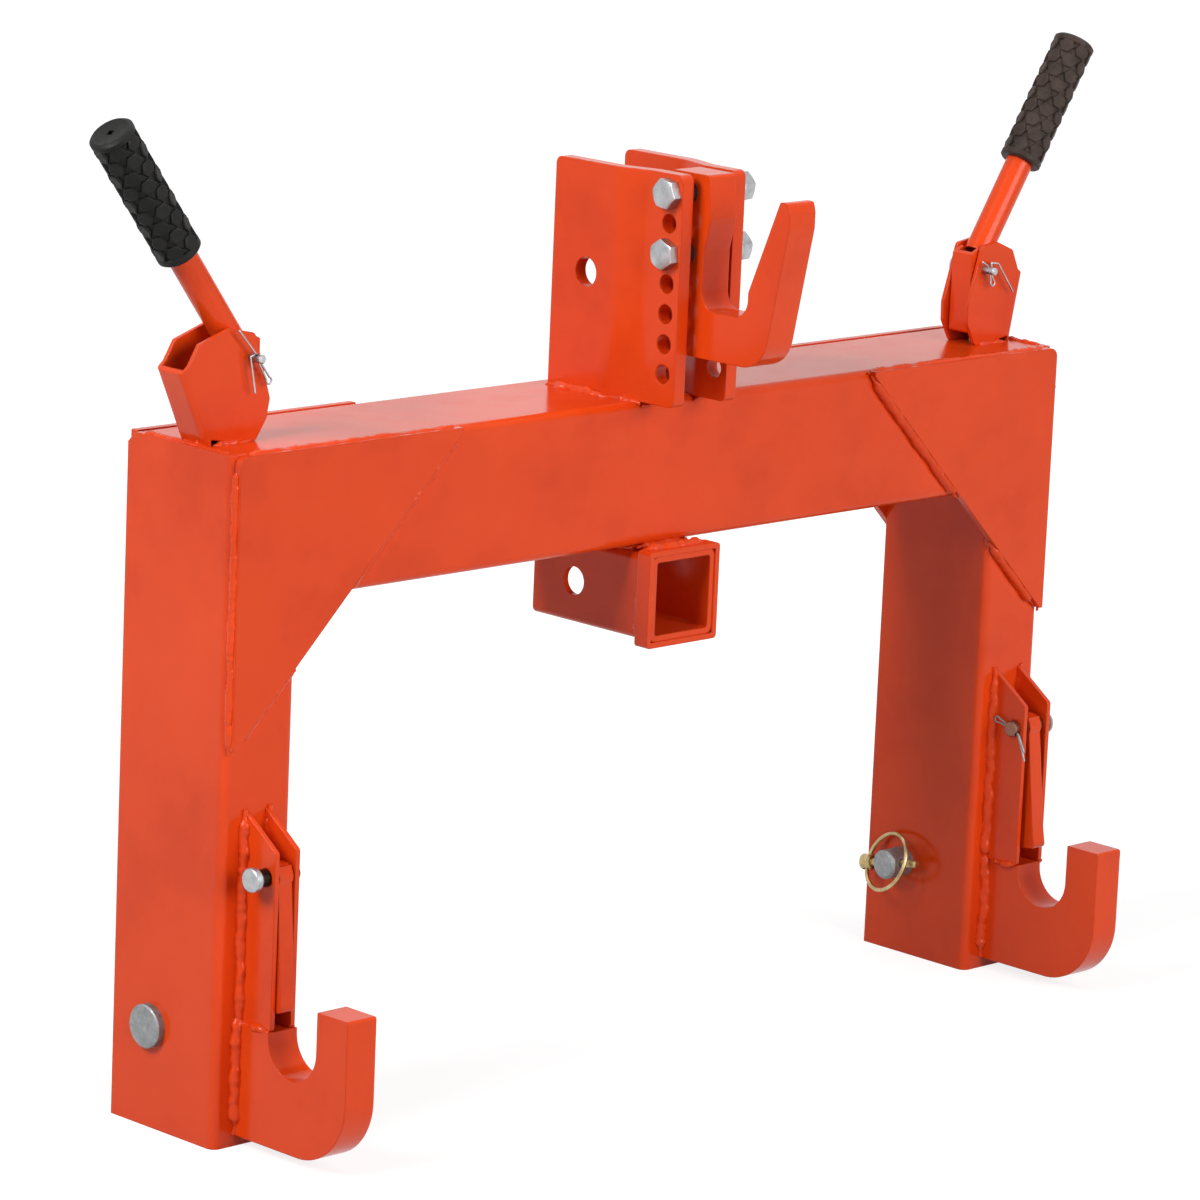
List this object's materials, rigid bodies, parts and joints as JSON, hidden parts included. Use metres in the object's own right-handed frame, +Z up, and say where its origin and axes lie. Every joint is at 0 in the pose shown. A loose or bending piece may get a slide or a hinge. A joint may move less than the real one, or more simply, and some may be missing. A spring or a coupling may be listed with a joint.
{
  "type": "three point quick hitch",
  "caption": "Welded arch frame with a bolted top hook, latched lower hooks, lever handles, link pins and a square receiver, for coupling implements to a tractor.",
  "frame": {"origin": "on the ground under the middle of the beam, halfway between the front of the top hook and the back of the rear gussets", "axes": "+X along the beam to the right seen from the implement, +Y from the hooks towards the tractor, +Z up"},
  "size_m": [0.9481, 0.2236, 0.6904],
  "materials": {
    "orange_paint": "glossy powder coat",
    "zinc_steel": "bright zinc plate",
    "yellow_zinc": "yellow zinc plate",
    "black_steel": "black",
    "black_rubber": "moulded, matt"
  },
  "bodies": {
    "frame": {"cross_beam": "orange_paint", "left_leg": "orange_paint", "right_leg": "orange_paint", "left_front_gusset": "orange_paint", "right_front_gusset": "orange_paint", "left_rear_gusset": "orange_paint", "right_rear_gusset": "orange_paint", "left_mast_plate": "orange_paint", "right_mast_plate": "orange_paint", "top_hook": "orange_paint", "top_hook_bolts": "zinc_steel", "top_hook_nuts": "zinc_steel", "top_hook_washers": "zinc_steel", "top_hook_spacers": "black_steel", "receiver_tube": "orange_paint", "receiver_collar": "orange_paint", "receiver_pad": "orange_paint", "left_lower_hook": "orange_paint", "right_lower_hook": "orange_paint", "left_latch_cheeks": "orange_paint", "right_latch_cheeks": "orange_paint", "left_latch_pin": "zinc_steel", "right_latch_pin": "zinc_steel", "latch_split_pins": "zinc_steel", "left_lever_housing": "orange_paint", "right_lever_housing": "orange_paint", "left_lever_pin": "zinc_steel", "right_lever_pin": "zinc_steel", "lever_split_pins": "zinc_steel"},
    "left_lever": {"left_lever_fork": "orange_paint", "left_handle_tube": "orange_paint", "left_hand_grip": "black_rubber", "left_lever_rod_pin": "black_steel"},
    "left_rod": {"left_pull_rod": "black_steel", "left_spring_collar": "zinc_steel", "left_return_spring": "zinc_steel"},
    "left_latch": {"left_latch_bar": "orange_paint", "left_latch_rod_pin": "zinc_steel"},
    "left_link_pin": {"left_link_pin": "zinc_steel", "left_lynch_pin": "yellow_zinc"},
    "left_ring": {"left_lynch_ring": "yellow_zinc"},
    "right_lever": {"right_lever_fork": "orange_paint", "right_handle_tube": "orange_paint", "right_hand_grip": "black_rubber", "right_lever_rod_pin": "black_steel"},
    "right_rod": {"right_pull_rod": "black_steel", "right_spring_collar": "zinc_steel", "right_return_spring": "zinc_steel"},
    "right_latch": {"right_latch_bar": "orange_paint", "right_latch_rod_pin": "zinc_steel"},
    "right_link_pin": {"right_link_pin": "zinc_steel", "right_lynch_pin": "yellow_zinc"},
    "right_ring": {"right_lynch_ring": "yellow_zinc"}
  },
  "joints": [
    {"name": "left_lever_hinge", "type": "hinge", "parent": "frame", "child": "left_lever", "pos_m": [-0.354, 0.0512, 0.5215], "axis": [0, 1, 0], "range_deg": [0, 30]},
    {"name": "left_rod_slide", "type": "slide", "parent": "frame", "child": "left_rod", "axis": [0, 0, 1], "range_m": [0, 0.0129], "deforming": ["left_return_spring"]},
    {"name": "left_latch_hinge", "type": "hinge", "parent": "frame", "child": "left_latch", "pos_m": [-0.367, -0.0183, 0.1883], "axis": [1, 0, 0], "range_deg": [0, 10.58]},
    {"name": "left_link_pin_spin", "type": "hinge", "parent": "frame", "child": "left_link_pin", "pos_m": [-0.367, 0.0708, 0.0704], "axis": [1, 0, 0], "continuous": true},
    {"name": "left_ring_hinge", "type": "hinge", "parent": "left_link_pin", "child": "left_ring", "pos_m": [-0.325, 0.09493, 0.06615], "axis": [-0.4226, 0.1574, 0.8925], "range_deg": [0, 150]},
    {"name": "right_lever_hinge", "type": "hinge", "parent": "frame", "child": "right_lever", "pos_m": [0.354, 0.0512, 0.5215], "axis": [0, -1, 0], "range_deg": [0, 30]},
    {"name": "right_rod_slide", "type": "slide", "parent": "frame", "child": "right_rod", "axis": [0, 0, 1], "range_m": [0, 0.0129], "deforming": ["right_return_spring"]},
    {"name": "right_latch_hinge", "type": "hinge", "parent": "frame", "child": "right_latch", "pos_m": [0.367, -0.0183, 0.1883], "axis": [1, 0, 0], "range_deg": [0, 10.58]},
    {"name": "right_link_pin_spin", "type": "hinge", "parent": "frame", "child": "right_link_pin", "pos_m": [0.367, 0.0708, 0.0704], "axis": [1, 0, 0], "continuous": true},
    {"name": "right_ring_hinge", "type": "hinge", "parent": "right_link_pin", "child": "right_ring", "pos_m": [0.325, 0.09493, 0.06615], "axis": [-0.4226, -0.1574, -0.8925], "range_deg": [0, 150]}
  ],
  "couplings": [
    {"joint": "left_rod_slide", "follows": "left_lever_hinge", "m_per_rad": 0.024564},
    {"joint": "left_latch_hinge", "follows": "left_lever_hinge", "ratio": 0.35267},
    {"joint": "right_rod_slide", "follows": "right_lever_hinge", "m_per_rad": 0.024564},
    {"joint": "right_latch_hinge", "follows": "right_lever_hinge", "ratio": 0.35267}
  ]
}
